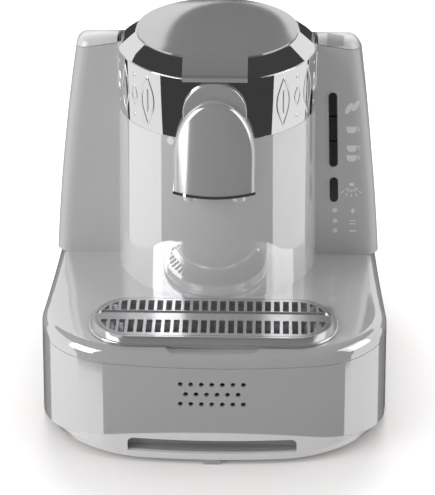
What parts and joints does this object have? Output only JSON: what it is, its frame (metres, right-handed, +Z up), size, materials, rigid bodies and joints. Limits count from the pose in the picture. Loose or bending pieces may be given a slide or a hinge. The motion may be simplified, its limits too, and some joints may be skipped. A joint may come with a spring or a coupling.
{
  "type": "electric turkish coffee maker",
  "caption": "Countertop machine that brews foamed coffee in a lidded heated chamber and pours it through a twin spout into small cups over a drip tray.",
  "frame": {"origin": "centre of the footprint on the surface that the feet stand on", "axes": "+X to the right seen from the front, +Y to the back, +Z up; the spout and the drip tray face -Y"},
  "size_m": [0.2392, 0.2812, 0.262],
  "materials": {
    "white_plastic": "high gloss moulded",
    "silver_plastic": "satin silver",
    "column_gloss": "high gloss silver white",
    "grey_plastic": "matte moulded",
    "black_plastic": "matte moulded",
    "button_dark": "semi gloss",
    "chrome": "polished",
    "steel": "drawn",
    "tray_steel": "satin silver",
    "grid_steel": "brushed",
    "aluminium": "cast",
    "gear_brass": "machined",
    "rubber": "matte",
    "silicone": "matte",
    "silicone_hose": "matte",
    "lens_clear": "frosted",
    "board_green": "solder mask",
    "tank_clear": "smoke clear"
  },
  "bodies": {
    "root": {"base_pan": "white_plastic", "grip_insert": "grey_plastic", "front_foot": "white_plastic", "rubber_feet": "rubber", "base_screws": "steel", "base_skirt": "white_plastic", "speaker": "black_plastic", "deck_plate": "white_plastic", "column_shell": "column_gloss", "sensor_lens": "chrome", "ring_collar": "chrome", "ring_bevel": "silver_plastic", "brew_chamber": "steel", "chamber_seal": "silicone", "heater_plate": "aluminium", "thermostat": "aluminium", "spout_cover": "silver_plastic", "spout_trim": "chrome", "spout_nozzles": "chrome", "spout_duct": "black_plastic", "spout_collar": "chrome", "valve_body": "black_plastic", "valve_motor": "steel", "motor_bracket": "steel", "lid_hinge_bracket": "grey_plastic", "lid_pin": "steel", "left_side_cover": "white_plastic", "right_side_cover": "white_plastic", "rear_cover": "white_plastic", "button_bezel": "chrome", "status_lenses": "lens_clear", "control_board": "board_green", "tank_bay": "grey_plastic", "tank_socket": "black_plastic", "socket_seal": "silicone", "pump": "black_plastic", "pump_mounts": "rubber", "inlet_hose": "silicone_hose", "outlet_hose": "silicone_hose", "inlet_elbow": "black_plastic", "main_board": "board_green", "cable_gland": "rubber"},
    "lid": {"lid_shell": "silver_plastic", "lid_liner": "black_plastic", "lid_gasket": "silicone", "lid_tab_pad": "black_plastic"},
    "button_1": {"button_1": "button_dark"},
    "button_2": {"button_2": "button_dark"},
    "button_3": {"button_3": "button_dark"},
    "button_4": {"button_4": "button_dark"},
    "drip_tray": {"drip_tray": "tray_steel"},
    "drip_grid": {"drip_grid": "grid_steel"},
    "water_tank": {"water_tank": "tank_clear", "tank_lid_pin": "steel"},
    "tank_lid": {"tank_lid": "white_plastic", "lift_tab": "grey_plastic"},
    "tank_valve": {"tank_valve": "grey_plastic"},
    "drain_valve": {"valve_plug": "black_plastic"},
    "pinion": {"pinion": "gear_brass"}
  },
  "joints": [
    {"name": "lid_hinge", "type": "hinge", "parent": "root", "child": "lid", "pos_m": [0, 0.0665, 0.2564], "axis": [-1, 0, 0], "range_deg": [0, 95]},
    {"name": "tank_lift", "type": "slide", "parent": "root", "child": "water_tank", "axis": [0, 0, 1], "range_m": [0, 0.17]},
    {"name": "tank_lid_hinge", "type": "hinge", "parent": "water_tank", "child": "tank_lid", "pos_m": [0, 0.1326, 0.19449], "axis": [-1, 0, 0], "range_deg": [0, 75]},
    {"name": "tank_valve_slide", "type": "slide", "parent": "water_tank", "child": "tank_valve", "axis": [0, 0, 1], "range_m": [0, 0.003], "stiffness_N_per_m": 120},
    {"name": "tray_lift", "type": "slide", "parent": "root", "child": "drip_tray", "axis": [0, 0, 1], "range_m": [0, 0.035]},
    {"name": "grid_lift", "type": "slide", "parent": "drip_tray", "child": "drip_grid", "axis": [0, 0, 1], "range_m": [0, 0.02]},
    {"name": "pinion_turn", "type": "hinge", "parent": "root", "child": "pinion", "pos_m": [0, -0.0206, 0.1545], "axis": [-1, 0, 0], "range_deg": [0, 64]},
    {"name": "drain_valve_slide", "type": "slide", "parent": "root", "child": "drain_valve", "axis": [0, 0, 1], "range_m": [0, 0.006]},
    {"name": "button_1_press", "type": "slide", "parent": "root", "child": "button_1", "axis": [0, 1, 0], "range_m": [0, 0.001], "stiffness_N_per_m": 600},
    {"name": "button_2_press", "type": "slide", "parent": "root", "child": "button_2", "axis": [0, 1, 0], "range_m": [0, 0.001], "stiffness_N_per_m": 600},
    {"name": "button_3_press", "type": "slide", "parent": "root", "child": "button_3", "axis": [0, 1, 0], "range_m": [0, 0.001], "stiffness_N_per_m": 600},
    {"name": "button_4_press", "type": "slide", "parent": "root", "child": "button_4", "axis": [0, 1, 0], "range_m": [0, 0.001], "stiffness_N_per_m": 600}
  ],
  "couplings": [
    {"joint": "pinion_turn", "follows": "drain_valve_slide", "rad_per_m": 185.19}
  ]
}
